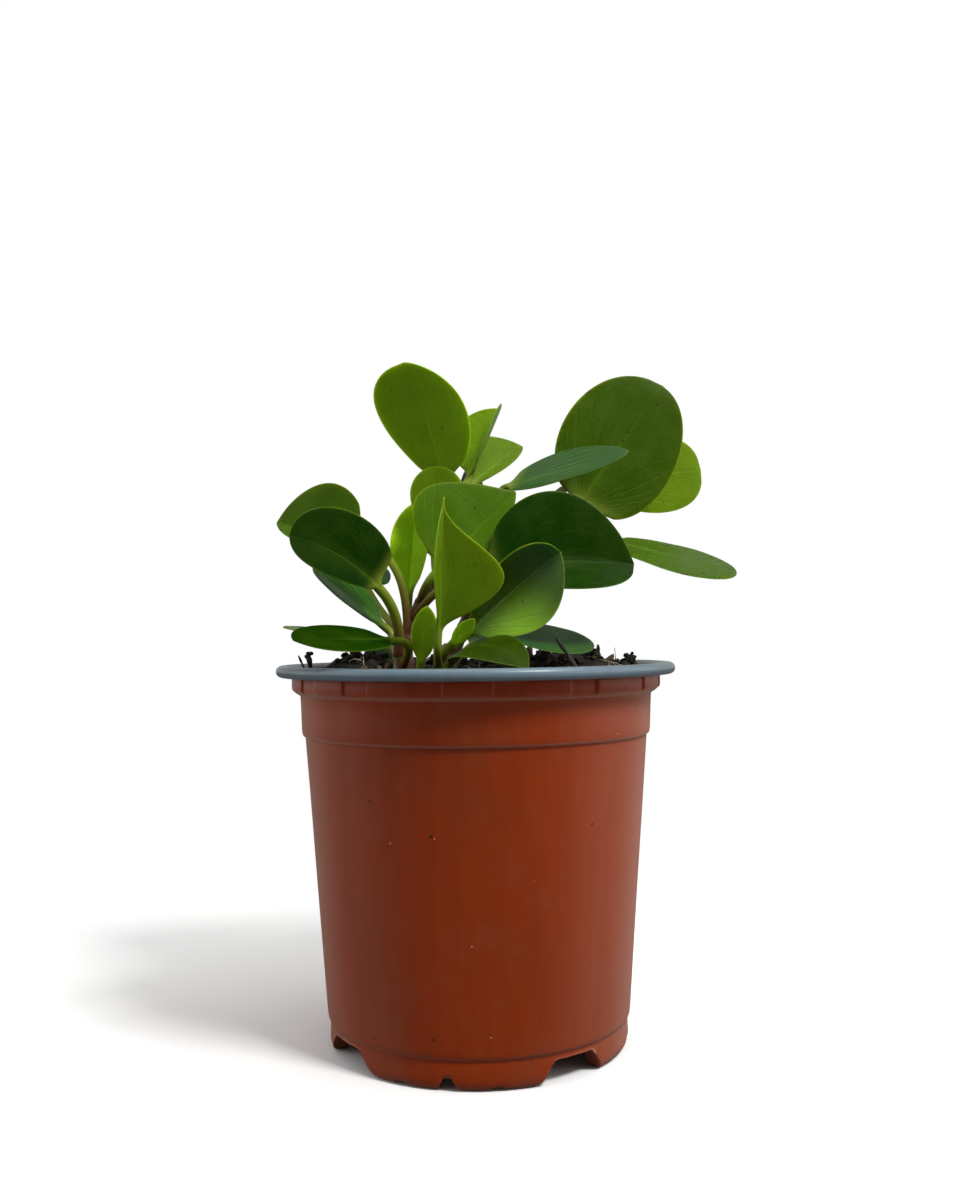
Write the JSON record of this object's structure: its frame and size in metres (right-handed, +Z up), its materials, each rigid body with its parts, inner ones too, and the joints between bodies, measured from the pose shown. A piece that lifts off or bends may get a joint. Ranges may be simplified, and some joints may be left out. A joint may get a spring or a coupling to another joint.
{
  "type": "potted peperomia",
  "caption": "Young peperomia with round glossy leaves on short stems, growing in soil in a terracotta-coloured plastic nursery pot with a grey rolled rim and four feet.",
  "frame": {"origin": "under the middle of the bounding box, at the level of the pot's feet; the pot's own axis is the vertical line 8 mm to the -X side of it", "axes": "+Z up along the pot's axis, -Y towards the front that the picture shows, +X to the right seen from the front"},
  "size_m": [0.1446, 0.12, 0.2056],
  "materials": {
    "pot": "thin formed plastic, satin terracotta outside and grey inside and on the rim",
    "soil": "damp dark potting mix with bark, matte",
    "stem": "fleshy reddish brown stem, satin",
    "leaf_young": "young lime green leaf, soft gloss",
    "leaf_green": "grown mid green leaf, soft gloss",
    "leaf_dark": "old dark green leaf, waxy gloss"
  },
  "bodies": {
    "root": {"pot": "pot", "soil": "soil", "stem_left": "stem", "stem_crown": "stem", "stem_right": "stem", "stem_front": "stem", "leaf_crown_round": "leaf_green", "leaf_crown_folded": "leaf_young", "leaf_crown_young": "leaf_young", "leaf_crown_back": "leaf_dark", "leaf_crown_small": "leaf_green", "leaf_middle_broad": "leaf_green", "leaf_middle_dark": "leaf_dark", "leaf_front_folded": "leaf_young", "leaf_right_round": "leaf_green", "leaf_right_back": "leaf_young", "leaf_right_over": "leaf_dark", "leaf_right_low": "leaf_green", "leaf_front_cupped": "leaf_dark", "leaf_front_arched": "leaf_green", "leaf_front_bud": "leaf_young", "leaf_front_small": "leaf_young", "leaf_left_flat": "leaf_dark", "leaf_left_edge": "leaf_green", "leaf_left_slant": "leaf_dark", "leaf_left_front": "leaf_green", "leaf_left_back": "leaf_green", "leaf_left_young": "leaf_young", "leaf_left_floor": "leaf_dark", "leaf_right_floor": "leaf_dark", "leaf_back_right": "leaf_green", "leaf_back_middle": "leaf_green", "leaf_back_left": "leaf_dark", "leaf_back_low": "leaf_dark"}
  },
  "joints": []
}
